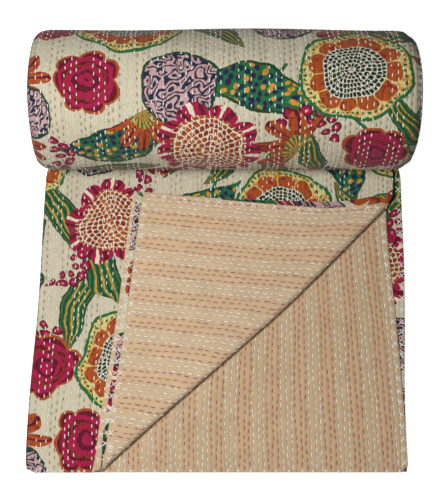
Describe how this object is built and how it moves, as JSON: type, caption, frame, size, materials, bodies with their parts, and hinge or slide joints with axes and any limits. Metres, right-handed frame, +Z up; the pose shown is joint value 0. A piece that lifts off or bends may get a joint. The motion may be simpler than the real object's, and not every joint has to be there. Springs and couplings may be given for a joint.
{
  "type": "kantha quilt",
  "caption": "Thin hand-stitched cotton bedspread, folded flat and rolled at one end, with a front corner turned back to show the plain backing.",
  "frame": {"origin": "Centre of the footprint, on the surface the quilt rests on.", "axes": "+X along the roll to the right, seen from the open end. +Y from the open end towards the roll. +Z up."},
  "size_m": [0.582, 0.6642, 0.2096],
  "materials": {
    "quilt_cloth": "matt printed cotton, beige ground with large flowers, tan backing, hand-sewn running stitches"
  },
  "bodies": {
    "root": {"kantha_quilt": "quilt_cloth"}
  },
  "joints": []
}
